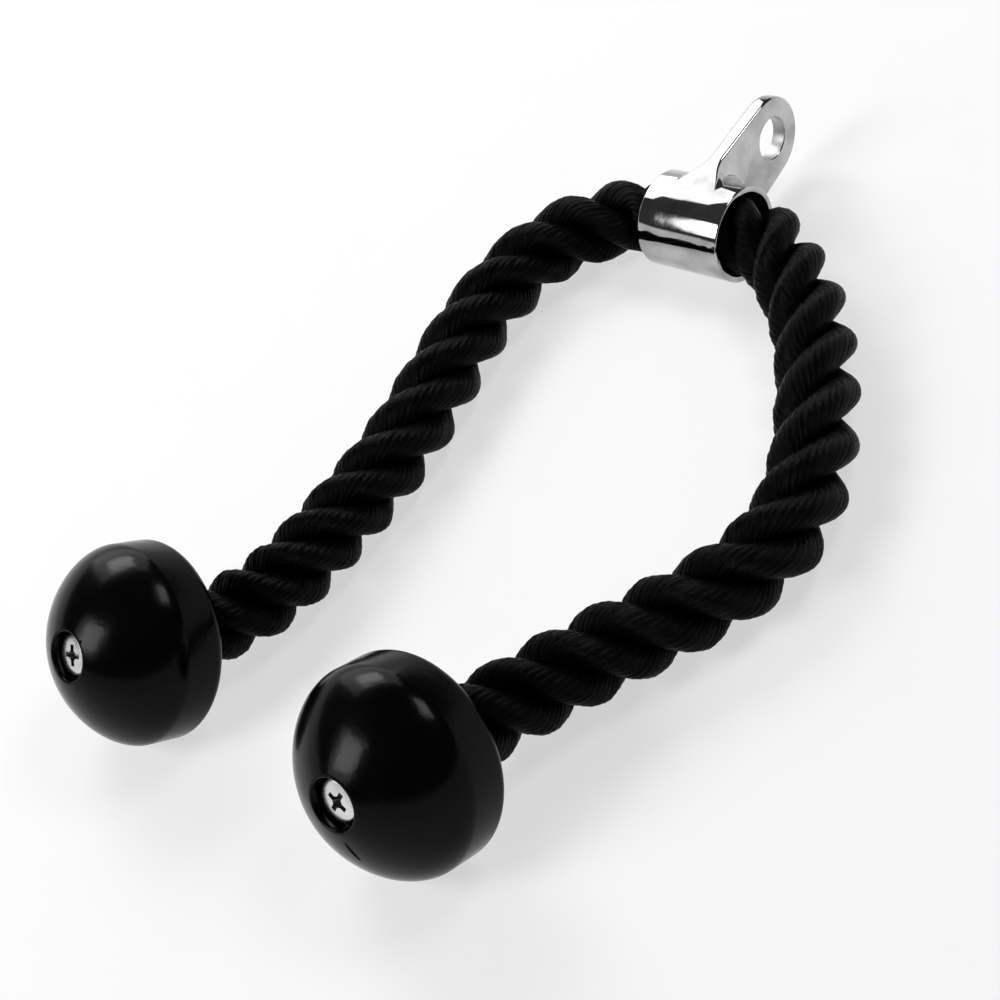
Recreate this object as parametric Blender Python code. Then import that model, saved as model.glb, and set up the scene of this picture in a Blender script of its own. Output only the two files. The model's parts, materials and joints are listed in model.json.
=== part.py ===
"""Triceps rope attachment: a cast eye bracket, a thick laid rope through its sleeve, and a rubber
stop clamped on each rope end. Metres, +Z up, lying on a flat surface as in the photograph.

The origin is the centre of the bracket's eye. +X runs along the eye's hole and the sleeve's bore,
+Y from the stops towards the eye.
"""

import math

import bmesh
import bpy
from mathutils import Vector
from mathutils.geometry import interpolate_bezier

# Rope
ROPE_DIAMETER = 0.028
ROPE_STEP = 0.009
ROPE_END_STUB = 0.004
ROPE_SIDES_RESOLUTION = 4

# Clearances
SEAT_GAP = 0.0003
ROPE_IN_SLEEVE_CLEARANCE = 0.001
CUT_OVERRUN = 0.002

# Eye bracket
SLEEVE_WALL = 0.0022
SLEEVE_LENGTH = 0.035
SLEEVE_MOUTH_CHAMFER = 0.0008
SLEEVE_RIM_ROUND = 0.0012
EYE_DISTANCE = 0.0433
EYE_HOLE_DIAMETER = 0.0155
EYE_HOLE_CHAMFER = 0.0005
EYE_RIM_WIDTH = 0.0073
LUG_THICKNESS = 0.0056
LUG_EDGE_ROUND = 0.0008
LUG_FILLET = 0.007
LUG_RISE_DEGREES = 6.7

# End stop
STOP_DIAMETER = 0.0658
STOP_DOME_DEPTH = 0.0246
STOP_DOME_FULLNESS = 1.62
STOP_SKIRT_LENGTH = 0.0108
STOP_BACK_DEPTH = 0.0051
STOP_BACK_ROUND = 0.0083
STOP_LIP_LENGTH = 0.004
STOP_NOSE_WALL = 0.0051
STOP_RECESS_CLEARANCE = 0.0006
STOP_RECESS_DEPTH = 0.0069
STOP_RECESS_EDGE = 0.0007

# Rope ferrule, inside the stop
FERRULE_WALL = 0.0012
FERRULE_FRONT = 0.0045
FERRULE_EDGE = 0.0005

# Stop screw and its washer
SCREW_DIAMETER = 0.006
SCREW_TIP_PROUD = 0.0009
SCREW_TIP_CLEARANCE = 0.0006
SCREW_HEAD_DIAMETER = 0.0135
SCREW_HEAD_HEIGHT = 0.0042
SCREW_HEAD_RIM = 0.003
SCREW_TIP_CHAMFER = 0.0007
CROSS_SLOT_SPAN = 0.0076
CROSS_SLOT_WIDTH = 0.0017
CROSS_SLOT_DEPTH = 0.0023
CROSS_SLOT_FLOOR_SHARE = 0.55
WASHER_RIM = 0.0005
WASHER_THICKNESS = 0.0012

# Rope route, from the sleeve's centre, along each leg to the rope's end inside its stop.
# The last span is the straight stretch that the stop holds.
LEFT_ROUTE = [
    (0.0, 0.0, 0.0), (-0.023, 0.0, 0.0), (-0.0335, -0.0045, -0.0005), (-0.0435, -0.0110, -0.0011),
    (-0.0515, -0.0188, -0.0018), (-0.0570, -0.0285, -0.0024), (-0.0597, -0.0405, -0.0028),
    (-0.0603, -0.0540, -0.003), (-0.0588, -0.0690, -0.003), (-0.0557, -0.0840, -0.003),
    (-0.0522, -0.0990, -0.003), (-0.0490, -0.1140, -0.003), (-0.0465, -0.1290, -0.003),
    (-0.0453, -0.1440, -0.003), (-0.0452, -0.1590, -0.003), (-0.0455, -0.1740, -0.003),
    (-0.0466, -0.1885, -0.0028), (-0.0500, -0.2020, -0.0022), (-0.0556, -0.2145, -0.0006),
    (-0.0623, -0.2260, 0.0023), (-0.0630, -0.2449, 0.0186),
]
RIGHT_ROUTE = [
    (0.0, 0.0, 0.0), (0.023, 0.0, 0.0), (0.0345, -0.0055, -0.0005), (0.0450, -0.0130, -0.0012),
    (0.0550, -0.0215, -0.0020), (0.0645, -0.0315, -0.0026), (0.0735, -0.0435, -0.0029),
    (0.0820, -0.0565, -0.003), (0.0900, -0.0700, -0.003), (0.0965, -0.0835, -0.003),
    (0.1010, -0.0970, -0.003), (0.1027, -0.1095, -0.003), (0.1012, -0.1220, -0.003),
    (0.0965, -0.1345, -0.003), (0.0900, -0.1465, -0.003), (0.0828, -0.1580, -0.003),
    (0.0755, -0.1695, -0.003), (0.0690, -0.1815, -0.0027), (0.0632, -0.1945, -0.0014),
    (0.0582, -0.2090, 0.0018), (0.0553, -0.2225, 0.0067), (0.0567, -0.2440, 0.0194),
]

# Where the rope's bending stretch starts and ends, measured along the route
BEND_START = 0.021
BEND_END = 0.083

# Counts
SLEEVE_STEPS = 40
EYE_STEPS = 20
SIDE_STEPS = 9
FILLET_STEPS = 5
STOP_STEPS = 44
DOME_STEPS = 11
BACK_STEPS = 6
SMALL_STEPS = 28
HEAD_STEPS = 4
ROUTE_SPAN_POINTS = 9

# Sizes that follow from those above
ROPE_RADIUS = ROPE_DIAMETER / 2
SLEEVE_BORE_RADIUS = ROPE_RADIUS + ROPE_IN_SLEEVE_CLEARANCE
SLEEVE_RADIUS = SLEEVE_BORE_RADIUS + SLEEVE_WALL
EYE_RADIUS = EYE_HOLE_DIAMETER / 2 + EYE_RIM_WIDTH
STOP_RADIUS = STOP_DIAMETER / 2
HEAD_RADIUS = SCREW_HEAD_DIAMETER / 2
WASHER_RADIUS = HEAD_RADIUS + WASHER_RIM
RECESS_RADIUS = WASHER_RADIUS + STOP_RECESS_CLEARANCE
MOUTH_RADIUS = RECESS_RADIUS + STOP_RECESS_EDGE
FERRULE_BORE_RADIUS = ROPE_RADIUS + SEAT_GAP
FERRULE_RADIUS = FERRULE_BORE_RADIUS + FERRULE_WALL
SCREW_RADIUS = SCREW_DIAMETER / 2
SCREW_HOLE_RADIUS = SCREW_RADIUS + SEAT_GAP


def dome_height(radius):
    """The stop's dome over its foot, at a radius."""
    share = 1 - (radius / STOP_RADIUS) ** STOP_DOME_FULLNESS
    return STOP_DOME_DEPTH * share ** (1 / STOP_DOME_FULLNESS)


# Places along the stop's axis, from the rope's end face towards the nose
FERRULE_INNER_FACE = SCREW_TIP_CLEARANCE + SCREW_TIP_PROUD
FERRULE_NOSE_FACE = FERRULE_INNER_FACE + FERRULE_FRONT
STOP_SHOULDER = FERRULE_NOSE_FACE + SEAT_GAP
RECESS_FLOOR = STOP_SHOULDER + STOP_NOSE_WALL
RECESS_MOUTH = RECESS_FLOOR + STOP_RECESS_DEPTH
DOME_FOOT = RECESS_MOUTH - dome_height(MOUTH_RADIUS)
STOP_BACK = DOME_FOOT - STOP_SKIRT_LENGTH - STOP_BACK_DEPTH
FERRULE_BACK = STOP_BACK + STOP_LIP_LENGTH + SEAT_GAP
WASHER_SEAT = RECESS_FLOOR + SEAT_GAP
HEAD_SEAT = WASHER_SEAT + WASHER_THICKNESS + SEAT_GAP
SCREW_TIP = SCREW_TIP_CLEARANCE

# The part lies on its sleeve and its two stops, and the lug rises a little from the sleeve to its eye
LUG_RISE = math.radians(LUG_RISE_DEGREES)
SLEEVE_CENTRE = -EYE_DISTANCE * Vector((0, math.cos(LUG_RISE), math.sin(LUG_RISE)))


def clear_scene():
    for obj in list(bpy.data.objects):
        bpy.data.objects.remove(obj, do_unlink=True)


def material(name, colour, roughness, metallic):
    made = bpy.data.materials.new(name)
    made.use_nodes = True
    shader = made.node_tree.nodes["Principled BSDF"]
    shader.inputs["Base Color"].default_value = (*colour, 1)
    shader.inputs["Roughness"].default_value = roughness
    shader.inputs["Metallic"].default_value = metallic
    return made


def empty(name, parent=None, location=(0, 0, 0), direction=None):
    """An empty at location, in its parent's frame, with its Z axis along direction."""
    made = bpy.data.objects.new(name, None)
    bpy.context.scene.collection.objects.link(made)
    made.parent = parent
    made.location = location
    if direction is not None:
        made.rotation_mode = "QUATERNION"
        made.rotation_quaternion = direction.to_track_quat("Z", "Y")
    return made


def add_object(name, data, parent, look, location=(0, 0, 0)):
    made = bpy.data.objects.new(name, data)
    bpy.context.scene.collection.objects.link(made)
    made.parent = parent
    made.location = location
    if look:
        data.materials.append(look)
    return made


def arc(centre, radii, start, end, steps):
    """Points of an ellipse's arc in a plane, angles in degrees, both ends included."""
    turns = [math.radians(start + (end - start) * i / steps) for i in range(steps + 1)]
    return [(centre[0] + radii[0] * math.cos(t), centre[1] + radii[1] * math.sin(t)) for t in turns]


def skin(name, sections, closed):
    """A mesh over a ring of sections. Closed sections are loops; open ones end on the axis."""
    shape = bmesh.new()
    rings = [[shape.verts.new(p) for p in section] for section in sections]
    count = len(sections[0])
    for here, after in zip(rings, rings[1:] + rings[:1]):
        for i in range(count if closed else count - 1):
            j = (i + 1) % count
            shape.faces.new((here[i], here[j], after[j], after[i]))
    bmesh.ops.remove_doubles(shape, verts=shape.verts, dist=SEAT_GAP / 100)
    bmesh.ops.recalc_face_normals(shape, faces=shape.faces)
    mesh = bpy.data.meshes.new(name)
    shape.to_mesh(mesh)
    shape.free()
    mesh.shade_smooth()
    mesh.set_sharp_from_angle(angle=math.radians(35))
    return mesh


def turned(name, profile, steps, closed=True):
    """A profile of (radius, height) points turned about Z."""
    turns = [math.tau * k / steps for k in range(steps)]
    sections = [[(r * math.cos(t), r * math.sin(t), z) for r, z in profile] for t in turns]
    return skin(name, sections, closed)


def cut(obj, cutter):
    """Cuts obj with a hidden cutter."""
    cutter.hide_render = True
    cutter.display_type = "WIRE"
    modifier = obj.modifiers.new(cutter.name, "BOOLEAN")
    modifier.operation = "DIFFERENCE"
    modifier.object = cutter


# Eye bracket


def bracket_outline():
    """The bracket's outline across the sleeve's axis, as (y, z): the sleeve's circle and the eye's
    circle, joined by their common tangents."""
    tangent = math.degrees(math.acos((SLEEVE_RADIUS - EYE_RADIUS) / EYE_DISTANCE))
    eye = arc((EYE_DISTANCE, 0), (EYE_RADIUS, EYE_RADIUS), -tangent, tangent, EYE_STEPS)
    sleeve = arc((0, 0), (SLEEVE_RADIUS, SLEEVE_RADIUS), tangent, 360 - tangent, SLEEVE_STEPS)

    def side(a, b):
        shares = [i / SIDE_STEPS for i in range(1, SIDE_STEPS)]
        return [(a[0] + (b[0] - a[0]) * s, a[1] + (b[1] - a[1]) * s) for s in shares]

    return eye + side(eye[-1], sleeve[0]) + sleeve + side(sleeve[-1], eye[0])


def bracket_section(reach):
    """One half of the section from the bore to the lug's edge, as (x, radius), where the outline
    lies at reach from the sleeve's axis. The lug flares into the sleeve with a round fillet, and
    what would stand past the outline is held back to it."""
    half_length, half_lug = SLEEVE_LENGTH / 2, LUG_THICKNESS / 2
    bore, rim = SLEEVE_BORE_RADIUS, SLEEVE_RIM_ROUND
    flare_top = SLEEVE_RADIUS + LUG_FILLET
    points = [(half_length - SLEEVE_MOUTH_CHAMFER, bore), (half_length, bore + SLEEVE_MOUTH_CHAMFER)]
    points += arc((half_length - rim, SLEEVE_RADIUS - rim), (rim, rim), 0, 90, 2)
    flare = arc((half_lug + LUG_FILLET, flare_top), (LUG_FILLET, LUG_FILLET), 270, 180, FILLET_STEPS)
    points += [(x, min(r, reach)) for x, r in flare]
    points += [(half_lug, max(min(flare_top, reach), reach - LUG_EDGE_ROUND))]
    points += [(half_lug - LUG_EDGE_ROUND, reach)]
    return points


def make_bracket(parent, look):
    sections = []
    for y, z in bracket_outline():
        reach, turn = math.hypot(y, z), math.atan2(z, y)
        half = bracket_section(reach)
        loop = half + [(-x, r) for x, r in reversed(half)]
        sections.append([(x, r * math.cos(turn), r * math.sin(turn)) for x, r in loop])
    bracket = add_object("eye_bracket", skin("eye_bracket", sections, True), parent, look)
    bracket.rotation_euler.x = LUG_RISE

    half_cut = LUG_THICKNESS / 2 + CUT_OVERRUN
    half_lug, radius = LUG_THICKNESS / 2, EYE_HOLE_DIAMETER / 2
    flared = radius + EYE_HOLE_CHAMFER + CUT_OVERRUN
    waist = half_lug - EYE_HOLE_CHAMFER
    profile = [(0, -half_cut), (flared, -half_cut), (radius, -waist), (radius, waist)]
    profile += [(flared, half_cut), (0, half_cut)]
    cutter = add_object("eye_hole_cutter", turned("eye_hole", profile, SLEEVE_STEPS, False), bracket, None)
    cutter.location.y = EYE_DISTANCE
    cutter.rotation_euler.y = math.radians(90)
    cut(bracket, cutter)


# Rope


def smooth_route(points):
    """A smooth curve through the points, as closely spaced points. Its first and last spans are
    straight."""
    knots = [Vector(p) for p in points]
    heads = [(after - before).normalized() for before, after in zip(knots, knots[2:])]
    first, last = (knots[1] - knots[0]).normalized(), (knots[-1] - knots[-2]).normalized()
    heads = [first, first] + heads[1:-1] + [last, last]
    curve = [knots[0]]
    for a, b, head_a, head_b in zip(knots, knots[1:], heads, heads[1:]):
        third = (b - a).length / 3
        curve += interpolate_bezier(a, a + head_a * third, b - head_b * third, b, ROUTE_SPAN_POINTS)[1:]
    return curve


class Route:
    """One leg's centreline, read by the distance along it from the sleeve's centre."""

    def __init__(self, points):
        self.curve = smooth_route(points)
        self.length = sum((b - a).length for a, b in zip(self.curve, self.curve[1:]))

    def at(self, distance):
        """The point and the unit direction at a distance."""
        left = distance
        for a, b in zip(self.curve, self.curve[1:]):
            span = (b - a).length
            if left <= span or b is self.curve[-1]:
                return a.lerp(b, left / span), (b - a).normalized()
            left -= span

    def stretch(self, start, end):
        """Points from start to end, less half a gap at each. The first and last runs are short and
        square to the end faces, so that two neighbouring stretches meet face to face."""
        steps = max(1, round((end - start) / ROPE_STEP))
        inner = [self.at(start + (end - start) * i / steps)[0] for i in range(1, steps)]
        (first, first_head), (last, last_head) = self.at(start), self.at(end)
        face, stub = SEAT_GAP / 2, SEAT_GAP / 2 + ROPE_END_STUB
        near = [first + first_head * face, first + first_head * stub]
        return near + inner + [last - last_head * stub, last - last_head * face]


def make_rope(name, points, parent, look, origin=Vector()):
    """A rope stretch along points given from the sleeve's centre. origin is its parent's place
    there."""
    curve = bpy.data.curves.new(name, "CURVE")
    curve.dimensions = "3D"
    curve.bevel_depth = ROPE_RADIUS
    curve.bevel_resolution = ROPE_SIDES_RESOLUTION
    curve.use_fill_caps = True
    spline = curve.splines.new("POLY")
    spline.points.add(len(points) - 1)
    for point, place in zip(spline.points, points):
        point.co = (*place, 1)
    spline.use_smooth = True
    add_object(name, curve, parent, look, -origin)


# End stop and what it holds


def make_stop(name, parent, look):
    """The rubber stop: a dome with a screw recess at its nose, a short skirt and a rounded back,
    with a stepped bore for the ferrule and a lip round the rope."""
    lip = ROPE_RADIUS + SEAT_GAP
    bore = FERRULE_RADIUS + SEAT_GAP
    back_centre = (STOP_RADIUS - STOP_BACK_ROUND, STOP_BACK + STOP_BACK_DEPTH)

    outside = [(lip, STOP_BACK)]
    outside += arc(back_centre, (STOP_BACK_ROUND, STOP_BACK_DEPTH), -90, 0, BACK_STEPS)
    end = math.degrees(math.acos((MOUTH_RADIUS / STOP_RADIUS) ** (STOP_DOME_FULLNESS / 2)))
    for t in [math.radians(end * i / DOME_STEPS) for i in range(DOME_STEPS + 1)]:
        radius = STOP_RADIUS * math.cos(t) ** (2 / STOP_DOME_FULLNESS)
        outside.append((radius, DOME_FOOT + dome_height(radius)))
    recess = [(RECESS_RADIUS, RECESS_MOUTH - STOP_RECESS_EDGE), (RECESS_RADIUS, RECESS_FLOOR)]
    inside = [(SCREW_HOLE_RADIUS, RECESS_FLOOR), (SCREW_HOLE_RADIUS, STOP_SHOULDER)]
    inside += [(bore, STOP_SHOULDER), (bore, FERRULE_BACK - SEAT_GAP), (lip, FERRULE_BACK - SEAT_GAP)]
    add_object(name, turned(name, outside + recess + inside, STOP_STEPS), parent, look)


def make_ferrule(name, parent, look):
    """The steel cup on the rope's end, with a tapped hole through its front."""
    profile = [
        (FERRULE_BORE_RADIUS, FERRULE_BACK),
        (FERRULE_RADIUS, FERRULE_BACK),
        (FERRULE_RADIUS, FERRULE_NOSE_FACE - FERRULE_EDGE),
        (FERRULE_RADIUS - FERRULE_EDGE, FERRULE_NOSE_FACE),
        (SCREW_HOLE_RADIUS, FERRULE_NOSE_FACE),
        (SCREW_HOLE_RADIUS, FERRULE_INNER_FACE),
        (FERRULE_BORE_RADIUS, FERRULE_INNER_FACE),
    ]
    add_object(name, turned(name, profile, SMALL_STEPS), parent, look)


def make_washer(name, parent, look):
    top = WASHER_SEAT + WASHER_THICKNESS
    profile = [
        (SCREW_HOLE_RADIUS, WASHER_SEAT),
        (WASHER_RADIUS, WASHER_SEAT),
        (WASHER_RADIUS, top),
        (SCREW_HOLE_RADIUS, top),
    ]
    add_object(name, turned(name, profile, SMALL_STEPS), parent, look)


def slot_mesh(name, top):
    """One slot of the cross: a bar that narrows downwards."""
    shape = bmesh.new()
    bmesh.ops.create_cube(shape, size=1)
    for v in shape.verts:
        at_floor = v.co.z < 0
        share = CROSS_SLOT_FLOOR_SHARE if at_floor else 1
        height = top - CROSS_SLOT_DEPTH if at_floor else top + CUT_OVERRUN
        v.co = Vector((v.co.x * CROSS_SLOT_SPAN * share, v.co.y * CROSS_SLOT_WIDTH * share, height))
    mesh = bpy.data.meshes.new(name)
    shape.to_mesh(mesh)
    shape.free()
    return mesh


def make_screw(name, parent, look):
    """The machine screw: a pan head with a cross recess, and a plain shank for its thread."""
    top, crown = HEAD_SEAT + SCREW_HEAD_HEIGHT, SCREW_HEAD_HEIGHT - SCREW_HEAD_RIM
    profile = [
        (0, SCREW_TIP),
        (SCREW_RADIUS - SCREW_TIP_CHAMFER, SCREW_TIP),
        (SCREW_RADIUS, SCREW_TIP + SCREW_TIP_CHAMFER),
        (SCREW_RADIUS, HEAD_SEAT),
        (HEAD_RADIUS, HEAD_SEAT),
    ]
    profile += arc((0, HEAD_SEAT + SCREW_HEAD_RIM), (HEAD_RADIUS, crown), 0, 90, HEAD_STEPS)[:-1]
    profile += [(0, top)]
    screw = add_object(name, turned(name, profile, SMALL_STEPS, False), parent, look)
    for turn in (0, 90):
        slot_name = f"{name}_slot_{turn}"
        slot = add_object(slot_name, slot_mesh(slot_name, top), screw, None)
        slot.rotation_euler.z = math.radians(turn)
        cut(screw, slot)


def make_leg(side, route, centre, looks):
    """One leg: the rope beyond the sleeve, and the stop with what clamps it on the rope's end."""
    make_rope(f"rope_bend_{side}", route.stretch(BEND_START, BEND_END), centre, looks["rope"])
    pivot_place = route.at((BEND_START + BEND_END) / 2)[0]
    pivot = empty(f"{side}_leg_pivot", centre, pivot_place)
    leg = route.stretch(BEND_END, route.length)
    make_rope(f"rope_leg_{side}", leg, pivot, looks["rope"], pivot_place)
    end_place, end_head = route.at(route.length)
    end = empty(f"{side}_rope_end", pivot, end_place - pivot_place, end_head)
    make_stop(f"end_stop_{side}", end, looks["rubber"])
    make_ferrule(f"rope_ferrule_{side}", end, looks["steel"])
    make_washer(f"screw_washer_{side}", end, looks["zinc"])
    make_screw(f"stop_screw_{side}", end, looks["zinc"])


def main():
    clear_scene()
    looks = {
        "chrome": material("chrome", (0.82, 0.82, 0.83), 0.06, 1),
        "rope": material("rope", (0.012, 0.012, 0.013), 0.55, 0),
        "rubber": material("rubber", (0.014, 0.014, 0.015), 0.32, 0),
        "steel": material("steel", (0.5, 0.5, 0.52), 0.35, 1),
        "zinc": material("zinc", (0.72, 0.73, 0.74), 0.28, 1),
    }
    sleeve = empty("sleeve_centre", None, SLEEVE_CENTRE)
    make_bracket(sleeve, looks["chrome"])
    rope = empty("rope_turn_axis", sleeve)
    left, right = Route(LEFT_ROUTE), Route(RIGHT_ROUTE)
    middle_end = BEND_START - SEAT_GAP / 2
    middle = [left.at(middle_end)[0], Vector(), right.at(middle_end)[0]]
    make_rope("rope_centre", middle, rope, looks["rope"])
    make_leg("left", left, rope, looks)
    make_leg("right", right, rope, looks)


main()
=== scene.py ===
"""Looks of the triceps rope attachment: its laid rope, chromed bracket, rubber stops and screws,
on a pale floor under soft boxes, seen as in the photograph. Metres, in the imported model's frame."""

import json
import math

import bmesh
import bpy
from mathutils import Matrix, Quaternion, Vector
from mathutils.geometry import interpolate_bezier


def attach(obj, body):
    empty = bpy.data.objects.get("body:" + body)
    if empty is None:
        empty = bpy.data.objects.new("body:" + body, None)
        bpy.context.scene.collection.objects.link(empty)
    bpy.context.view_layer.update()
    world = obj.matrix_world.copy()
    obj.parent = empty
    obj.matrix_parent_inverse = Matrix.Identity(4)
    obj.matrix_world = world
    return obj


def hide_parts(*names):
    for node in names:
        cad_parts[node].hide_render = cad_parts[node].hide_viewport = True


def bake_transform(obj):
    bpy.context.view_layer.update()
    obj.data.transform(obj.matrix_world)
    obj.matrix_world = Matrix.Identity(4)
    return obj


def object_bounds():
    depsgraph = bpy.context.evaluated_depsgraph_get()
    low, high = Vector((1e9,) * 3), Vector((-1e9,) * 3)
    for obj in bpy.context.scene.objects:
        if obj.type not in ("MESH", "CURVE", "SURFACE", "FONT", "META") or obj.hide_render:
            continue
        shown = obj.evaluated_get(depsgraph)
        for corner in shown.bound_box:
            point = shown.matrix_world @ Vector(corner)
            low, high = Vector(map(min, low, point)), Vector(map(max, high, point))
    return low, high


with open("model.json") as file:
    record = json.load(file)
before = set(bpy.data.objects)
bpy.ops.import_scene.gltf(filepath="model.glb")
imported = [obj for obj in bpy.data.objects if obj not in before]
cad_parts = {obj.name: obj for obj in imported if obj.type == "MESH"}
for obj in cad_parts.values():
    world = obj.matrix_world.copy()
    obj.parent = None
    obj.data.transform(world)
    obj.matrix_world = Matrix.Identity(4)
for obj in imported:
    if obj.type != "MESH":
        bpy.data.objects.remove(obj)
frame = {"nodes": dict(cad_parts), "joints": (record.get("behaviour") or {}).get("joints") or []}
cad_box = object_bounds()

# Camera, as fitted to the photograph
CAMERA_PLACE = Vector((0.3984, -0.4228, 0.4283))
CAMERA_AIM = Vector((-0.0074, -0.1678, -0.022))
CAMERA_ROLL_DEGREES = -27.17
CAMERA_LENS = 69.78
CAMERA_SENSOR = 36

# Soft boxes, two broad panels with a brighter core before each and a core alone on the right:
# azimuth, elevation and roll in degrees, distance, width, height and radiance
LIGHT_TARGET = Vector((0.0, -0.16, 0.0))
SOFT_BOXES = {
    "back_panel": (147, 34, 0, 1.7, 1.5, 1.3, 2.3),
    "back_core": (153, 42, 0, 1.5, 0.56, 0.48, 8.5),
    "left_panel": (-119.4, 39, 18, 1.7, 0.9, 0.9, 2.4),
    "left_core": (-116, 42, 18, 1.5, 0.56, 0.54, 8.5),
    "right_core": (58, 55, 0, 1.5, 0.54, 0.4, 8.5),
}
# A pale backdrop low round the horizon, and a dim room above it
BACKDROP_LEVEL = 0.8
ROOM_LEVEL = 0.05
BACKDROP_TOP = 0.2
BACKDROP_EDGE = 0.05
FLOOR_SIZE = 40.0
FLOOR_WHITE_SHARE = 0.6

# Rope, as in the solids
ROPE_DIAMETER = 0.028
SLEEVE_HALF_LENGTH = 0.0175
LEFT_ROUTE = [
    (0.0, 0.0, 0.0), (-0.023, 0.0, 0.0), (-0.0335, -0.0045, -0.0005), (-0.0435, -0.0110, -0.0011),
    (-0.0515, -0.0188, -0.0018), (-0.0570, -0.0285, -0.0024), (-0.0597, -0.0405, -0.0028),
    (-0.0603, -0.0540, -0.003), (-0.0588, -0.0690, -0.003), (-0.0557, -0.0840, -0.003),
    (-0.0522, -0.0990, -0.003), (-0.0490, -0.1140, -0.003), (-0.0465, -0.1290, -0.003),
    (-0.0453, -0.1440, -0.003), (-0.0452, -0.1590, -0.003), (-0.0455, -0.1740, -0.003),
    (-0.0466, -0.1885, -0.0028), (-0.0500, -0.2020, -0.0022), (-0.0556, -0.2145, -0.0006),
    (-0.0623, -0.2260, 0.0023), (-0.0630, -0.2449, 0.0186),
]
RIGHT_ROUTE = [
    (0.0, 0.0, 0.0), (0.023, 0.0, 0.0), (0.0345, -0.0055, -0.0005), (0.0450, -0.0130, -0.0012),
    (0.0550, -0.0215, -0.0020), (0.0645, -0.0315, -0.0026), (0.0735, -0.0435, -0.0029),
    (0.0820, -0.0565, -0.003), (0.0900, -0.0700, -0.003), (0.0965, -0.0835, -0.003),
    (0.1010, -0.0970, -0.003), (0.1027, -0.1095, -0.003), (0.1012, -0.1220, -0.003),
    (0.0965, -0.1345, -0.003), (0.0900, -0.1465, -0.003), (0.0828, -0.1580, -0.003),
    (0.0755, -0.1695, -0.003), (0.0690, -0.1815, -0.0027), (0.0632, -0.1945, -0.0014),
    (0.0582, -0.2090, 0.0018), (0.0553, -0.2225, 0.0067), (0.0567, -0.2440, 0.0194),
]

# Strands and yarns of the rope
STRANDS = 3
LAY_PHASE_DEGREES = 88.3
# How long one full turn of the strands is, at distances from the sleeve's centre
LEFT_LAY = [
    (0, 0.045), (0.03, 0.059), (0.06, 0.0615), (0.11, 0.0685), (0.16, 0.065), (0.21, 0.049),
    (0.3, 0.04),
]
RIGHT_LAY = [
    (0, 0.0434), (0.03, 0.0571), (0.06, 0.0613), (0.11, 0.0692), (0.16, 0.0593), (0.21, 0.0533),
    (0.32, 0.0529),
]
# A strand's distance from the rope's axis, and its halves towards the axis and across
STRAND_ORBIT = 0.0073
STRAND_DEPTH = 0.0064
STRAND_WIDTH = 0.0068
# The yarns on a strand's surface: one yarn's shape across, how high it stands, how unevenly, how
# much it turns back for each turn of the strands, and how far it wanders
YARNS = 20
YARN_PROFILE = (1.0, 0.45, -1.0, 0.45)
YARN_RELIEF = 0.0002
YARN_UNEVENNESS = 0.5
YARN_TURN_SHARE = 1.1
YARN_WANDER = 0.00013
ROPE_RING_STEP = 0.0022
# Radians per ring, yarn and strand of the slow waves that make the yarns uneven and let them wander
UNEVEN_PHASES = (0.19, 5.1, 2.6)
WANDER_PHASES = (0.43, 2.4, 1.7)
# How many rings one unit of the yarns' texture space spans, and how far apart two strands lie in it
TEXTURE_RINGS = 4
TEXTURE_STRAND_SHIFT = 7
# Stretch of the fibres' noise along and across a yarn
FIBRE_STRETCH = (0.35, 9, 1)

# Bracket, as in the solids but for the rounding of its edges
SLEEVE_BORE_RADIUS = 0.015
SLEEVE_RADIUS = 0.0172
SLEEVE_RIM_ROUND = 0.0008
MOUTH_ROUND = 0.0006
EYE_DISTANCE = 0.0433
EYE_RADIUS = 0.01505
EYE_HOLE_DIAMETER = 0.0155
HOLE_EDGE_ROUND = 0.0006
LUG_THICKNESS = 0.0056
LUG_EDGE_ROUND = 0.0013
LUG_FILLET = 0.007

# Stop, as in the solids but for the rounding of its back lip, with heights from the rope's end
SEAT_GAP = 0.0003
STOP_RADIUS = 0.0329
STOP_DOME_DEPTH = 0.0246
STOP_DOME_FULLNESS = 1.62
STOP_SKIRT_LENGTH = 0.0108
STOP_BACK_DEPTH = 0.0051
STOP_BACK_ROUND = 0.0083
STOP_LIP_LENGTH = 0.004
BACK_LIP_ROUND = 0.0006
FERRULE_SEAT_RADIUS = 0.0158
STOP_SHOULDER = 0.0063
RECESS_FLOOR = STOP_SHOULDER + 0.0051
RECESS_MOUTH = RECESS_FLOOR + 0.0069
RECESS_RADIUS = 0.00785
MOUTH_RADIUS = RECESS_RADIUS + 0.0007

# A small mark in each stop's moulding: its turn in degrees, its distance from the axis, and the
# halves of its length, width and depth
MOULD_MARKS = {
    "left": (50, 0.0093, 0.0006, 0.0005, 0.0006),
    "right": (-75, 0.015, 0.005, 0.0008, 0.0008),
}

# Screw, as in the solids but for its head, which is a little lower, and the cone in its cross
SCREW_RADIUS = 0.003
SCREW_HOLE_RADIUS = SCREW_RADIUS + SEAT_GAP
SCREW_TIP = 0.0006
SCREW_TIP_CHAMFER = 0.0007
HEAD_SEAT = RECESS_FLOOR + 0.0018
HEAD_RADIUS = 0.00675
SCREW_HEAD_HEIGHT = 0.0031
SCREW_HEAD_RIM = 0.0019
HEAD_FLATNESS = 0.8
CROSS_SPAN = 0.0076
CROSS_WIDTH = 0.0017
CROSS_FLOOR_SPAN = 0.0036
CROSS_FLOOR_WIDTH = 0.0012
CROSS_DEPTH = 0.0023
CROSS_MIDDLE_RADIUS = 0.0019
CROSS_MIDDLE_FLOOR_RADIUS = CROSS_FLOOR_SPAN / 4
CROSS_TURN_DEGREES = {"left": 12, "right": 61}
# The recess is shaded from this share of its depth down, and out to this share of its span
CROSS_SHADE_START_SHARE = 1 / 6
CROSS_SHADE_REACH_SHARE = 0.49

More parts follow.
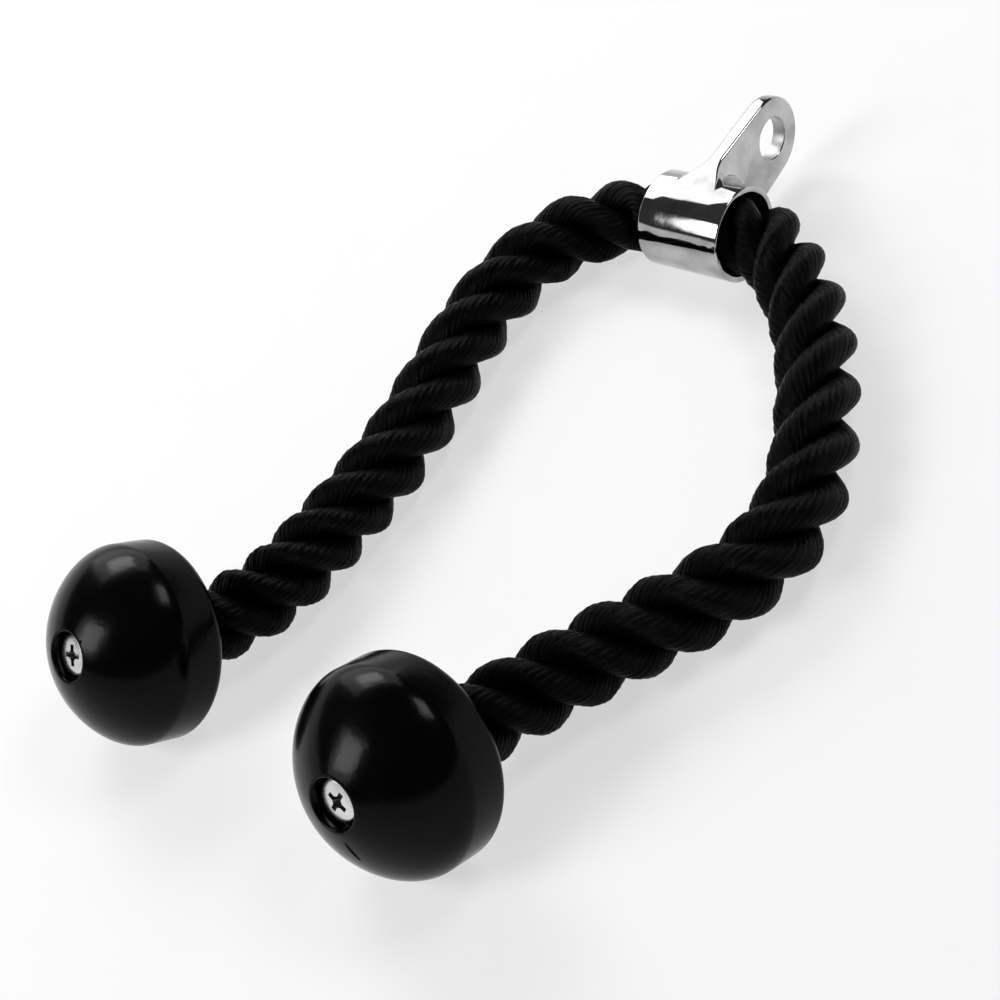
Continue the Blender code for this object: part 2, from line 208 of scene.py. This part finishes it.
# Counts and mesh settings
ROUTE_SPAN_POINTS = 9
EYE_STEPS = 60
SLEEVE_STEPS = 120
SIDE_STEPS = 24
FILLET_STEPS = 14
EDGE_STEPS = 4
RIM_STEPS = 5
HOLE_STEPS = 96
STOP_STEPS = 180
MARK_STEPS = 16
DOME_STEPS = 44
BACK_STEPS = 14
SCREW_STEPS = 72
HEAD_STEPS = 8
SHARP_DEGREES = 35
WELD = 0.000002
CUT_OVERRUN = 0.002


joints = {joint["name"]: joint for joint in frame["joints"]}
SLEEVE_CENTRE = Vector(joints["rope_turn"]["pos_m"])


def node_material(name):
    """A new material, its node tree and its shader."""
    made = bpy.data.materials.new(name)
    made.use_nodes = True
    tree = made.node_tree
    return made, tree, tree.nodes["Principled BSDF"]


def add_node(tree, kind, inputs=None, **settings):
    """A new node. inputs are values for its sockets, settings are the node's own."""
    node = tree.nodes.new(kind)
    for key, value in settings.items():
        setattr(node, key, value)
    for key, value in (inputs or {}).items():
        node.inputs[key].default_value = value
    return node


def ramp(tree, source, stops):
    """A colour ramp over source. stops are (place, value or colour)."""
    node = tree.nodes.new("ShaderNodeValToRGB")
    elements = node.color_ramp.elements
    while len(elements) < len(stops):
        elements.new(0.5)
    for element, (place, value) in zip(elements, stops):
        element.position = place
        colour = value if isinstance(value, tuple) else (value, value, value)
        element.color = (*colour, 1)
    tree.links.new(source, node.inputs["Fac"])
    return node.outputs["Color"]


def noise(tree, vector, scale, detail, roughness=0.5):
    node = add_node(
        tree, "ShaderNodeTexNoise", {"Scale": scale, "Detail": detail, "Roughness": roughness}
    )
    tree.links.new(vector, node.inputs["Vector"])
    return node.outputs["Fac"]


def bump(tree, height, distance, strength, normal=None):
    node = add_node(tree, "ShaderNodeBump", {"Distance": distance, "Strength": strength})
    tree.links.new(height, node.inputs["Height"])
    if normal:
        tree.links.new(normal, node.inputs["Normal"])
    return node.outputs["Normal"]


def where_marked(tree, mark, plain, value):
    """A colour or value that gives way to another where the mesh marks a face."""
    faces = add_node(tree, "ShaderNodeAttribute", attribute_name=mark)
    mix = add_node(tree, "ShaderNodeMixRGB", {"Color2": (value, value, value, 1)})
    tree.links.new(faces.outputs["Fac"], mix.inputs["Fac"])
    tree.links.new(plain, mix.inputs["Color1"])
    return mix.outputs["Color"]


def object_space(tree):
    return add_node(tree, "ShaderNodeTexCoord").outputs["Object"]


def rope_material():
    """Black filament yarn: fine fibres along each yarn."""
    made, tree, shader = node_material("rope_yarn")
    uv = add_node(tree, "ShaderNodeUVMap", uv_map="yarn")
    stretched = add_node(tree, "ShaderNodeMapping", {"Scale": FIBRE_STRETCH})
    tree.links.new(uv.outputs["UV"], stretched.inputs["Vector"])
    fibres = noise(tree, stretched.outputs["Vector"], scale=4, detail=4, roughness=0.6)
    shades = [(0.3, (0.0004, 0.0004, 0.0005)), (0.72, (0.0017, 0.0017, 0.0018))]
    tree.links.new(ramp(tree, fibres, shades), shader.inputs["Base Color"])
    tree.links.new(ramp(tree, fibres, [(0.32, 0.36), (0.62, 0.17)]), shader.inputs["Roughness"])
    shader.inputs["Specular IOR Level"].default_value = 0.045
    relief = bump(tree, fibres, distance=0.0004, strength=0.55)
    tree.links.new(relief, shader.inputs["Normal"])
    return made


def chrome_material():
    """Mirror chrome over a cast surface: a faint waviness, fine pores and a light haze. The bore is
    painted near black as shade, and the eye's drilled wall is rougher."""
    made, tree, shader = node_material("chrome_plate")
    space = object_space(tree)
    waves = noise(tree, space, scale=70, detail=2)
    pores = noise(tree, space, scale=900, detail=3, roughness=0.7)
    clouds = noise(tree, space, scale=110, detail=4)
    tint = ramp(tree, clouds, [(0.34, (0.36, 0.36, 0.365)), (0.62, (0.5, 0.5, 0.505))])
    # The bore's marked faces are painted near black: painted shade inside the sleeve
    tree.links.new(where_marked(tree, "recess", tint, 0.02), shader.inputs["Base Color"])
    polish = ramp(tree, pores, [(0.35, 0.04), (0.75, 0.085)])
    tree.links.new(where_marked(tree, "drilled", polish, 0.45), shader.inputs["Roughness"])
    shader.inputs["Metallic"].default_value = 1
    relief = bump(tree, waves, distance=0.0006, strength=0.09)
    tree.links.new(relief, shader.inputs["Normal"])
    return made


def rubber_material():
    """Moulded black rubber, semi-gloss, with faint blotches and a fine grain."""
    made, tree, shader = node_material("moulded_rubber")
    space = object_space(tree)
    blotches = noise(tree, space, scale=45, detail=4, roughness=0.55)
    grain = noise(tree, space, scale=600, detail=3)
    shades = [(0.35, (0.0006, 0.0006, 0.0007)), (0.7, (0.0015, 0.0015, 0.0016))]
    tree.links.new(ramp(tree, blotches, shades), shader.inputs["Base Color"])
    tree.links.new(ramp(tree, blotches, [(0.3, 0.14), (0.75, 0.21)]), shader.inputs["Roughness"])
    shader.inputs["Specular IOR Level"].default_value = 0.085
    wavy = bump(tree, blotches, distance=0.0006, strength=0.3)
    relief = bump(tree, grain, distance=0.0001, strength=0.35, normal=wavy)
    tree.links.new(relief, shader.inputs["Normal"])
    return made


def metal_material(name, low, high, rough_low, rough_high):
    """Plated steel with a fine directionless grain, and painted shade on faces marked as a recess."""
    made, tree, shader = node_material(name)
    space = object_space(tree)
    grain = noise(tree, space, scale=1500, detail=3, roughness=0.6)
    patches = noise(tree, space, scale=260, detail=3)
    tint = ramp(tree, patches, [(0.3, low), (0.7, high)])
    # Faces marked as a recess are painted dark grey: painted shade in the screw's cross
    tree.links.new(where_marked(tree, "recess", tint, 0.2), shader.inputs["Base Color"])
    roughness = ramp(tree, patches, [(0.3, rough_low), (0.7, rough_high)])
    tree.links.new(roughness, shader.inputs["Roughness"])
    shader.inputs["Metallic"].default_value = 1
    relief = bump(tree, grain, distance=0.0001, strength=0.3)
    tree.links.new(relief, shader.inputs["Normal"])
    return made


def floor_material():
    """A pale matt floor that keeps its shadows, whiter to the camera and in reflections."""
    made, tree, shader = node_material("pale_floor")
    shade = noise(tree, object_space(tree), scale=30, detail=4)
    pale = ramp(tree, shade, [(0.3, (0.85, 0.85, 0.85)), (0.7, (0.87, 0.87, 0.87))])
    tree.links.new(pale, shader.inputs["Base Color"])
    shader.inputs["Roughness"].default_value = 0.9
    shader.inputs["Specular IOR Level"].default_value = 0.1
    rays = add_node(tree, "ShaderNodeLightPath")
    seen = rays.outputs["Is Camera Ray"]
    for kind in ("Is Glossy Ray", "Is Transmission Ray"):
        either = add_node(tree, "ShaderNodeMath", operation="MAXIMUM")
        tree.links.new(seen, either.inputs[0])
        tree.links.new(rays.outputs[kind], either.inputs[1])
        seen = either.outputs[0]
    share = add_node(tree, "ShaderNodeMath", {1: FLOOR_WHITE_SHARE}, operation="MULTIPLY")
    tree.links.new(seen, share.inputs[0])
    white = add_node(tree, "ShaderNodeEmission", {"Color": (1, 1, 1, 1), "Strength": 1})
    mix = add_node(tree, "ShaderNodeMixShader")
    tree.links.new(share.outputs[0], mix.inputs[0])
    tree.links.new(shader.outputs["BSDF"], mix.inputs[1])
    tree.links.new(white.outputs["Emission"], mix.inputs[2])
    tree.links.new(mix.outputs["Shader"], tree.nodes["Material Output"].inputs["Surface"])
    return made


def place_camera():
    camera = bpy.data.objects.new("photo_camera", bpy.data.cameras.new("photo_camera"))
    bpy.context.scene.collection.objects.link(camera)
    camera.data.lens, camera.data.sensor_width = CAMERA_LENS, CAMERA_SENSOR
    look = (CAMERA_AIM - CAMERA_PLACE).to_track_quat("-Z", "Y").to_matrix().to_4x4()
    roll = Matrix.Rotation(math.radians(CAMERA_ROLL_DEGREES), 4, "Z")
    camera.matrix_world = Matrix.Translation(CAMERA_PLACE) @ look @ roll
    bpy.context.scene.camera = camera


def light_scene():
    """The soft boxes, the dim room with its pale horizon, and plain view settings."""
    for name, (azimuth, elevation, roll, distance, width, height, radiance) in SOFT_BOXES.items():
        turn, rise = math.radians(azimuth), math.radians(elevation)
        flat = math.cos(rise)
        away = Vector((math.cos(turn) * flat, math.sin(turn) * flat, math.sin(rise)))
        data = bpy.data.lights.new(name, "AREA")
        data.shape, data.size, data.size_y = "RECTANGLE", width, height
        data.energy = radiance * math.pi * width * height
        box = bpy.data.objects.new(name, data)
        bpy.context.scene.collection.objects.link(box)
        box.location = LIGHT_TARGET + away * distance
        box.rotation_mode = "QUATERNION"
        spin = Quaternion((0, 0, 1), math.radians(roll))
        box.rotation_quaternion = away.to_track_quat("Z", "Y") @ spin
        box.visible_camera = False
    world = bpy.data.worlds.new("dim_studio")
    world.use_nodes = True
    tree = world.node_tree
    height = add_node(tree, "ShaderNodeSeparateXYZ")
    place = add_node(tree, "ShaderNodeTexCoord")
    tree.links.new(place.outputs["Generated"], height.inputs["Vector"])
    edges = [(BACKDROP_TOP, BACKDROP_LEVEL), (BACKDROP_TOP + BACKDROP_EDGE, ROOM_LEVEL)]
    tree.links.new(ramp(tree, height.outputs["Z"], edges), tree.nodes["Background"].inputs["Color"])
    bpy.context.scene.world = world
    bpy.context.scene.view_settings.view_transform = "Standard"


def make_floor():
    half = FLOOR_SIZE / 2
    mesh = bpy.data.meshes.new("floor")
    corners = [(-half, -half, 0), (half, -half, 0), (half, half, 0), (-half, half, 0)]
    mesh.from_pydata(corners, [], [(0, 1, 2, 3)])
    mesh.materials.append(floor_material())
    floor = bpy.data.objects.new("floor", mesh)
    bpy.context.scene.collection.objects.link(floor)
    floor.location = (*LIGHT_TARGET.xy, cad_box[0][2])


def add_piece(name, data, look):
    piece = bpy.data.objects.new(name, data)
    bpy.context.scene.collection.objects.link(piece)
    data.materials.append(look)
    return piece


# Rope


def smooth_route(points):
    """The same smooth line through a route's points as in the solids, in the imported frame."""
    knots = [SLEEVE_CENTRE + Vector(p) for p in points]
    heads = [(after - before).normalized() for before, after in zip(knots, knots[2:])]
    first, last = (knots[1] - knots[0]).normalized(), (knots[-1] - knots[-2]).normalized()
    heads = [first, first] + heads[1:-1] + [last, last]
    curve = [knots[0]]
    for a, b, head_a, head_b in zip(knots, knots[1:], heads, heads[1:]):
        third = (b - a).length / 3
        handles = (a + head_a * third, b - head_b * third)
        curve += interpolate_bezier(a, *handles, b, ROUTE_SPAN_POINTS)[1:]
    return curve


def even_points(curve, step):
    """Points at even distances along a line, and the line's length."""
    places = [0.0]
    for a, b in zip(curve, curve[1:]):
        places.append(places[-1] + (b - a).length)
    count = round(places[-1] / step)
    points, k = [], 0
    for i in range(count + 1):
        distance = places[-1] * i / count
        while k < len(curve) - 2 and places[k + 1] < distance:
            k += 1
        share = (distance - places[k]) / (places[k + 1] - places[k])
        points.append(curve[k].lerp(curve[k + 1], share))
    return points, places[-1]


def untwisted_frames(points):
    """A side and an up vector at each point, square to the line, that don't turn about it."""
    heads = [(b - a).normalized() for a, b in zip(points, points[1:])]
    heads = [heads[0]] + [(a + b).normalized() for a, b in zip(heads, heads[1:])] + [heads[-1]]
    side = Vector((0, 0, 1))
    frames = []
    for head in heads:
        side = (side - head * side.dot(head)).normalized()
        frames.append((side, head.cross(side)))
    return frames


def lay_turns(lay, length, rings):
    """The strands' turn in radians at each ring along the rope."""
    turns, step = [0.0], length / (rings - 1)
    for i in range(rings - 1):
        distance = (i + 0.5) * step
        a, b = next((a, b) for a, b in zip(lay, lay[1:]) if distance <= b[0])
        share = (distance - a[0]) / (b[0] - a[0])
        turns.append(turns[-1] + math.tau * step * ((1 - share) / a[1] + share / b[1]))
    return turns


def ripple(phases, ring, yarn, strand):
    """A slow wave along the rope, between -1 and 1."""
    return math.sin(phases[0] * ring + phases[1] * yarn + phases[2] * strand)


def rope_half(name, route, lay, direction, look):
    """One half of the laid rope, from inside the sleeve to its end in the stop. The lay is
    right-handed, and both halves' strands meet in the sleeve. direction is 1 or -1 along X."""
    points, length = even_points(smooth_route(route), ROPE_RING_STEP)
    frames = untwisted_frames(points)
    count, rings = YARNS * len(YARN_PROFILE), len(points)
    turns = lay_turns(lay, length, rings)
    shape = bmesh.new()
    uv_layer = shape.loops.layers.uv.new("yarn")
    for strand in range(STRANDS):
        start = math.radians(LAY_PHASE_DEGREES) + math.tau * strand / STRANDS
        grid = []
        for i, (centre, (side, up)) in enumerate(zip(points, frames)):
            orbit = direction * start + turns[i]
            middle = centre + (side * math.cos(orbit) + up * math.sin(orbit)) * STRAND_ORBIT
            ring = []
            for j in range(count):
                angle = math.tau * j / count - YARN_TURN_SHARE * turns[i]
                lean = angle - orbit
                reach = 1 / math.hypot(math.cos(lean) / STRAND_DEPTH, math.sin(lean) / STRAND_WIDTH)
                yarn = j // len(YARN_PROFILE)
                unevenness = YARN_UNEVENNESS * ripple(UNEVEN_PHASES, i, yarn, strand)
                reach += YARN_RELIEF * (1 + unevenness) * YARN_PROFILE[j % len(YARN_PROFILE)]
                reach += YARN_WANDER * ripple(WANDER_PHASES, i, yarn, strand)
                outwards = side * math.cos(angle) + up * math.sin(angle)
                ring.append(shape.verts.new(middle + outwards * reach))
            grid.append(ring)
        for i in range(rings - 1):
            for j in range(count):
                k = (j + 1) % count
                face = shape.faces.new((grid[i][j], grid[i][k], grid[i + 1][k], grid[i + 1][j]))
                face.smooth = True
                across = ((j, i), (j + 1, i), (j + 1, i + 1), (j, i + 1))
                for loop, (yarn_place, ring_place) in zip(face.loops, across):
                    along = ring_place / TEXTURE_RINGS + strand * TEXTURE_STRAND_SHIFT
                    loop[uv_layer].uv = (along, yarn_place / len(YARN_PROFILE))
        shape.faces.new(reversed(grid[0]))
        shape.faces.new(grid[-1])
    bmesh.ops.recalc_face_normals(shape, faces=shape.faces)
    mesh = bpy.data.meshes.new(name)
    shape.to_mesh(mesh)
    shape.free()
    return add_piece(name, mesh, look), points, length


def make_rope(side, route, lay, direction, look):
    """One half of the rope. Returns the place and turn of the rope's end, where the stop sits."""
    name = f"laid_rope_{side}"
    rope, points, length = rope_half(name, route, lay, direction, look)
    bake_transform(rope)
    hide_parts(f"rope_bend_{side}", f"rope_leg_{side}", "rope_centre")
    end_heading = (points[-1] - points[-2]).normalized()
    return Matrix.Translation(points[-1]) @ end_heading.to_track_quat("Z", "Y").to_matrix().to_4x4()


# Bracket, stops and screws, made finely on the solids' own sizes


def arc(centre, radii, start, end, steps):
    """Points of an ellipse's arc in a plane, angles in degrees, both ends included."""
    turns = [math.radians(start + (end - start) * i / steps) for i in range(steps + 1)]
    return [(centre[0] + radii[0] * math.cos(t), centre[1] + radii[1] * math.sin(t)) for t in turns]


def skin(name, sections, closed):
    """A mesh over a ring of sections. Closed sections are loops; open ones end on the axis."""
    shape = bmesh.new()
    rings = [[shape.verts.new(p) for p in section] for section in sections]
    count = len(sections[0])
    for here, after in zip(rings, rings[1:] + rings[:1]):
        for i in range(count if closed else count - 1):
            j = (i + 1) % count
            shape.faces.new((here[i], here[j], after[j], after[i]))
    bmesh.ops.remove_doubles(shape, verts=shape.verts, dist=WELD)
    bmesh.ops.recalc_face_normals(shape, faces=shape.faces)
    mesh = bpy.data.meshes.new(name)
    shape.to_mesh(mesh)
    shape.free()
    mesh.shade_smooth()
    mesh.set_sharp_from_angle(angle=math.radians(SHARP_DEGREES))
    return mesh


def turned(name, profile, steps, closed=True):
    """A profile of (radius, height) points turned about Z."""
    turns = [math.tau * k / steps for k in range(steps)]
    sections = [[(r * math.cos(t), r * math.sin(t), z) for r, z in profile] for t in turns]
    return skin(name, sections, closed)


def mark_faces(mesh, mark, is_marked):
    """Gives a mark to the faces whose centre passes a test, for the materials."""
    marks = mesh.attributes.new(mark, "FLOAT", "FACE")
    for face, value in zip(mesh.polygons, marks.data):
        value.value = 1.0 if is_marked(face.center) else 0.0


def cut_away(piece, cutters):
    """Cuts the cutters out of a piece for good, and removes them."""
    for cutter in cutters:
        modifier = piece.modifiers.new(cutter.name, "BOOLEAN")
        modifier.operation = "DIFFERENCE"
        modifier.object = cutter
    bpy.context.view_layer.update()
    graph = bpy.context.evaluated_depsgraph_get()
    done = bpy.data.meshes.new_from_object(piece.evaluated_get(graph))
    piece.modifiers.clear()
    piece.data = done
    done.set_sharp_from_angle(angle=math.radians(SHARP_DEGREES))
    for cutter in cutters:
        bpy.data.objects.remove(cutter)


def bracket_outline():
    """The bracket's outline across the sleeve's axis: the sleeve's and the eye's circles, joined by
    their common tangents."""
    tangent = math.degrees(math.acos((SLEEVE_RADIUS - EYE_RADIUS) / EYE_DISTANCE))
    eye = arc((EYE_DISTANCE, 0), (EYE_RADIUS, EYE_RADIUS), -tangent, tangent, EYE_STEPS)
    sleeve = arc((0, 0), (SLEEVE_RADIUS, SLEEVE_RADIUS), tangent, 360 - tangent, SLEEVE_STEPS)

    def straight(a, b):
        shares = [i / SIDE_STEPS for i in range(1, SIDE_STEPS)]
        return [(a[0] + (b[0] - a[0]) * s, a[1] + (b[1] - a[1]) * s) for s in shares]

    return eye + straight(eye[-1], sleeve[0]) + sleeve + straight(sleeve[-1], eye[0])


def bracket_section(reach):
    """One half of the section from the bore to the lug's edge, as (x, radius), where the outline
    lies at reach from the sleeve's axis. Its edges are rounded, and the lug flares out to the
    sleeve."""
    half_length, half_lug = SLEEVE_HALF_LENGTH, LUG_THICKNESS / 2
    rim, mouth, flare_top = SLEEVE_RIM_ROUND, MOUTH_ROUND, SLEEVE_RADIUS + LUG_FILLET
    edge = min(LUG_EDGE_ROUND, (reach - SLEEVE_RADIUS) / 2)
    mouth_centre = (half_length - mouth, SLEEVE_BORE_RADIUS + mouth)
    points = arc(mouth_centre, (mouth, mouth), -90, 0, EDGE_STEPS)
    points += arc((half_length - rim, SLEEVE_RADIUS - rim), (rim, rim), 0, 90, RIM_STEPS)
    flare_centre, flare_radii = (half_lug + LUG_FILLET, flare_top), (LUG_FILLET, LUG_FILLET)
    flare = arc(flare_centre, flare_radii, 270, 180, FILLET_STEPS)
    full = len(points) + len(flare)
    low_flare = [(x, r) for x, r in flare if r < reach - edge]
    points += low_flare or [(flare[0][0], min(flare[0][1], reach))]
    # Each section needs as many points as the next, so a short flare repeats its last one
    points += [points[-1]] * (full - len(points))
    low = max(flare_top - (reach - edge), 0)
    shoulder = half_lug + LUG_FILLET - math.sqrt(max(LUG_FILLET ** 2 - low ** 2, 0))
    points += arc((shoulder - edge, reach - edge), (edge, edge), 0, 90, EDGE_STEPS)
    return points


def make_bracket(look):
    """The sleeve and the lug in one piece, with the eye's hole cut through."""
    sections = []
    for y, z in bracket_outline():
        reach, turn = math.hypot(y, z), math.atan2(z, y)
        half = bracket_section(reach)
        loop = half + [(-x, r) for x, r in reversed(half)]
        sections.append([(x, r * math.cos(turn), r * math.sin(turn)) for x, r in loop])
    bracket = add_piece("chromed_eye_bracket", skin("chromed_eye_bracket", sections, True), look)

    half_lug, radius, lip_round = LUG_THICKNESS / 2, EYE_HOLE_DIAMETER / 2, HOLE_EDGE_ROUND
    lip_centre = (radius + lip_round, half_lug - lip_round)
    lip = arc(lip_centre, (lip_round, lip_round), 180, 90, EDGE_STEPS)
    half = lip + [(lip[-1][0] + CUT_OVERRUN, half_lug + CUT_OVERRUN), (0, half_lug + CUT_OVERRUN)]
    profile = [(r, -z) for r, z in reversed(half)] + half
    hole = add_piece("hole_cutter", turned("hole_cutter", profile, HOLE_STEPS, False), look)
    across = Matrix.Rotation(math.radians(90), 4, "Y")
    hole.data.transform(Matrix.Translation((0, EYE_DISTANCE, 0)) @ across)
    cut_away(bracket, [hole])

    bore, bore_end = (SLEEVE_BORE_RADIUS + SLEEVE_RADIUS) / 2, SLEEVE_HALF_LENGTH - MOUTH_ROUND
    wall, wall_end = radius + lip_round / 2, half_lug - lip_round / 2

    def in_bore(p):
        return math.hypot(p.y, p.z) < bore and abs(p.x) < bore_end

    def on_wall(p):
        return math.hypot(p.y - EYE_DISTANCE, p.z) < wall and abs(p.x) < wall_end

    # Marks the bore's faces, which the chrome paints near black as shade
    mark_faces(bracket.data, "recess", in_bore)
    mark_faces(bracket.data, "drilled", on_wall)
    lean = math.atan2(-SLEEVE_CENTRE.z, -SLEEVE_CENTRE.y)
    bracket.data.transform(Matrix.Translation(SLEEVE_CENTRE) @ Matrix.Rotation(lean, 4, "X"))
    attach(bracket, "bracket")
    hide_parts("eye_bracket")


def dome_height(radius):
    """The stop's dome over its foot, at a radius."""
    share = 1 - (radius / STOP_RADIUS) ** STOP_DOME_FULLNESS
    return STOP_DOME_DEPTH * share ** (1 / STOP_DOME_FULLNESS)


def make_stop(side, place, look):
    """The moulded stop in its own frame: heights from the rope's end face towards the nose."""
    foot = RECESS_MOUTH - dome_height(MOUTH_RADIUS)
    back = foot - STOP_SKIRT_LENGTH - STOP_BACK_DEPTH
    lip = ROPE_DIAMETER / 2 + SEAT_GAP
    back_centre = (STOP_RADIUS - STOP_BACK_ROUND, back + STOP_BACK_DEPTH)
    lip_centre = (lip + BACK_LIP_ROUND, back + BACK_LIP_ROUND)
    outside = arc(lip_centre, (BACK_LIP_ROUND, BACK_LIP_ROUND), 180, 270, EDGE_STEPS)
    outside += arc(back_centre, (STOP_BACK_ROUND, STOP_BACK_DEPTH), -90, 0, BACK_STEPS)
    outside.append((STOP_RADIUS, foot))
    end = math.degrees(math.acos((MOUTH_RADIUS / STOP_RADIUS) ** (STOP_DOME_FULLNESS / 2)))
    for i in range(1, DOME_STEPS + 1):
        t = math.radians(end * i / DOME_STEPS)
        radius = STOP_RADIUS * math.cos(t) ** (2 / STOP_DOME_FULLNESS)
        outside.append((radius, foot + dome_height(radius)))
    edge = MOUTH_RADIUS - RECESS_RADIUS
    recess = arc((MOUTH_RADIUS, RECESS_MOUTH - edge), (edge, edge), 90, 180, RIM_STEPS)
    recess += [(RECESS_RADIUS, RECESS_FLOOR), (SCREW_HOLE_RADIUS, RECESS_FLOOR)]
    inside = [(SCREW_HOLE_RADIUS, STOP_SHOULDER), (FERRULE_SEAT_RADIUS, STOP_SHOULDER)]
    inside += [(FERRULE_SEAT_RADIUS, back + STOP_LIP_LENGTH), (lip, back + STOP_LIP_LENGTH)]
    mesh = turned("stop", outside + recess + inside, STOP_STEPS)
    stop = add_piece(f"moulded_stop_{side}", mesh, look)
    cut_away(stop, [mark_cutter(side, foot, look)])
    stop.data.transform(place)
    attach(stop, f"{side}_leg")
    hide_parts(f"end_stop_{side}")


def mark_cutter(side, foot, look):
    """The cutter for a stop's mark: a small long drop that lies along the dome."""
    turn, radius, *halves = MOULD_MARKS[side]
    slope = math.atan2(dome_height(radius) - dome_height(radius + halves[0]), halves[0])
    shape = bmesh.new()
    bmesh.ops.create_uvsphere(shape, u_segments=MARK_STEPS, v_segments=MARK_STEPS, radius=1)
    mesh = bpy.data.meshes.new("mark")
    shape.to_mesh(mesh)
    shape.free()
    place = Matrix.Translation((radius, 0, foot + dome_height(radius)))
    place = Matrix.Rotation(math.radians(turn), 4, "Z") @ place
    mesh.transform(place @ Matrix.Rotation(slope, 4, "Y") @ Matrix.Diagonal((*halves, 1)))
    return add_piece("mark", mesh, look)


def wing_mesh(top):
    """One wing of the cross recess: a bar that narrows downwards."""
    shape = bmesh.new()
    bmesh.ops.create_cube(shape, size=1)
    for v in shape.verts:
        at_floor = v.co.z < 0
        span = CROSS_FLOOR_SPAN if at_floor else CROSS_SPAN
        width = CROSS_FLOOR_WIDTH if at_floor else CROSS_WIDTH
        height = top - CROSS_DEPTH if at_floor else top + SEAT_GAP
        v.co = Vector((v.co.x * span, v.co.y * width, height))
    mesh = bpy.data.meshes.new("wing")
    shape.to_mesh(mesh)
    shape.free()
    return mesh


def make_screw(side, place, look):
    """The pan-head screw, its rim and crown rounded, with a cross recess."""
    top, rim_height = HEAD_SEAT + SCREW_HEAD_HEIGHT, HEAD_SEAT + SCREW_HEAD_RIM
    crown = SCREW_HEAD_HEIGHT - SCREW_HEAD_RIM
    profile = [(0, SCREW_TIP), (SCREW_RADIUS - SCREW_TIP_CHAMFER, SCREW_TIP)]
    profile += [(SCREW_RADIUS, SCREW_TIP + SCREW_TIP_CHAMFER), (SCREW_RADIUS, HEAD_SEAT)]
    profile += [(HEAD_RADIUS, HEAD_SEAT)]
    for i in range(HEAD_STEPS):
        t = math.radians(90 * i / HEAD_STEPS)
        radius = HEAD_RADIUS * math.cos(t) ** HEAD_FLATNESS
        profile.append((radius, rim_height + crown * math.sin(t) ** HEAD_FLATNESS))
    profile += [(0, top)]
    screw = add_piece(f"cross_screw_{side}", turned("screw", profile, SCREW_STEPS, False), look)
    wings = []
    for turn in (0, 90):
        wing = add_piece(f"wing_{turn}", wing_mesh(top), look)
        wing.data.transform(Matrix.Rotation(math.radians(turn + CROSS_TURN_DEGREES[side]), 4, "Z"))
        wings.append(wing)
    middle = [(0, top - CROSS_DEPTH), (CROSS_MIDDLE_FLOOR_RADIUS, top - CROSS_DEPTH)]
    middle += [(CROSS_MIDDLE_RADIUS, top + SEAT_GAP), (0, top + SEAT_GAP)]
    cone = turned("cross_middle", middle, SCREW_STEPS, False)
    wings.append(add_piece("cross_middle", cone, look))
    cut_away(screw, wings)

    deep = top - CROSS_DEPTH * CROSS_SHADE_START_SHARE
    reach = CROSS_SPAN * CROSS_SHADE_REACH_SHARE

    def in_cross(p):
        return HEAD_SEAT < p.z < deep and math.hypot(p.x, p.y) < reach

    # Marks the cross's deep faces, which the zinc paints dark grey as shade
    mark_faces(screw.data, "recess", in_cross)
    screw.data.transform(place)
    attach(screw, f"{side}_leg")
    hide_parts(f"stop_screw_{side}")


def dress_solid(node, look):
    """Gives a CAD node that stays its finish."""
    data = frame["nodes"][node].data
    data.materials.clear()
    data.materials.append(look)


place_camera()
light_scene()
make_floor()
yarn, chrome, rubber = rope_material(), chrome_material(), rubber_material()
steel = metal_material(
    "drawn_steel", low=(0.42, 0.42, 0.43), high=(0.52, 0.52, 0.53), rough_low=0.3, rough_high=0.42
)
zinc = metal_material(
    "bright_zinc", low=(0.62, 0.63, 0.64), high=(0.74, 0.75, 0.76), rough_low=0.2, rough_high=0.32
)
make_bracket(chrome)
legs = (("left", LEFT_ROUTE, LEFT_LAY, -1), ("right", RIGHT_ROUTE, RIGHT_LAY, 1))
for side, route, lay, direction in legs:
    rope_end = make_rope(side, route, lay, direction, yarn)
    make_stop(side, rope_end, rubber)
    make_screw(side, rope_end, zinc)
    dress_solid(f"rope_ferrule_{side}", steel)
    dress_solid(f"screw_washer_{side}", zinc)
